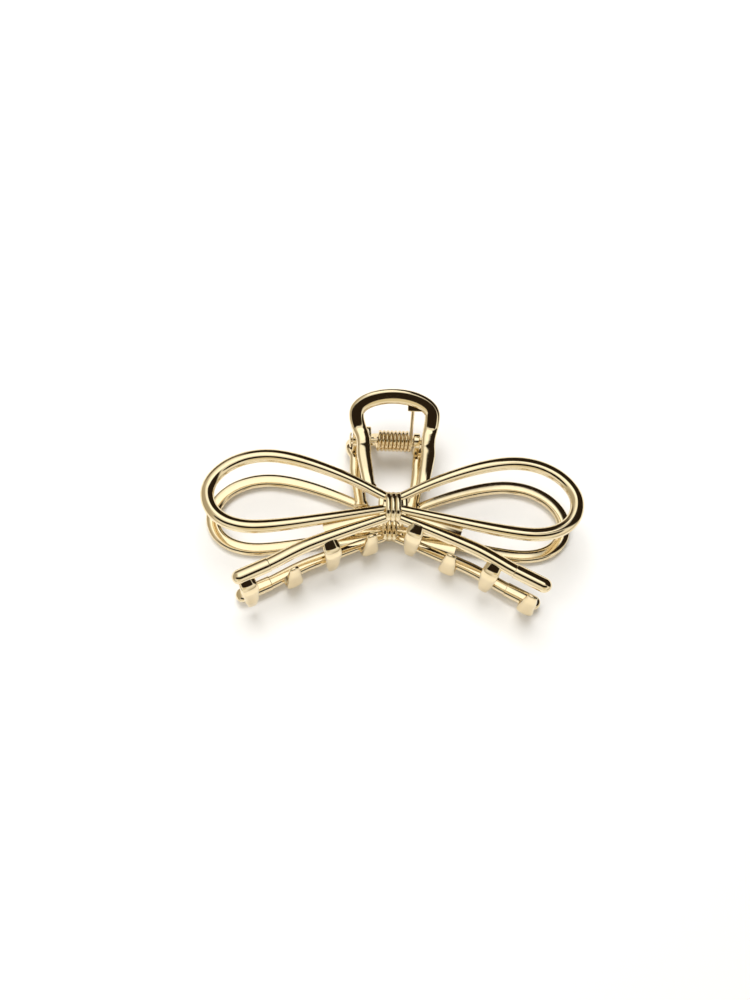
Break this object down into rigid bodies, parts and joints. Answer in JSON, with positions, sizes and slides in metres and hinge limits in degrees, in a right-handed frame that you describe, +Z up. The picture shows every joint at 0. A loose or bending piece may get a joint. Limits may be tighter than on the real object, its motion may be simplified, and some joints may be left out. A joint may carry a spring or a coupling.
{
  "type": "hair claw clip",
  "caption": "Bow-shaped metal hair claw clip: two mirrored open-loop jaws with curved teeth and an arched handle, held closed by a coil spring on a hinge pin.",
  "frame": {"origin": "middle of the bottom face of the closed clip's bounding box, on the surface that the back half lies on", "axes": "+X along the bow and the hinge pin, +Y from the teeth to the handle, +Z up out of the back half through the front half"},
  "size_m": [0.0854, 0.0498, 0.0182],
  "materials": {
    "plated_alloy": "polished pale gold plating on cast zinc alloy",
    "plated_spring_steel": "pale gold plating on drawn spring wire"
  },
  "bodies": {
    "back_half": {"back_jaw": "plated_alloy", "back_knot_binding": "plated_alloy", "hinge_pin": "plated_alloy", "torsion_spring": "plated_spring_steel"},
    "front_half": {"front_jaw": "plated_alloy", "front_knot_binding": "plated_alloy"}
  },
  "joints": [
    {"name": "jaw_hinge", "type": "hinge", "parent": "back_half", "child": "front_half", "pos_m": [0, 0.01524, 0.00898], "axis": [-1, 0, 0], "range_deg": [0, 75], "stiffness_Nm_per_rad": 0.06, "springref_deg": -34.38, "deforming": ["torsion_spring"]}
  ]
}
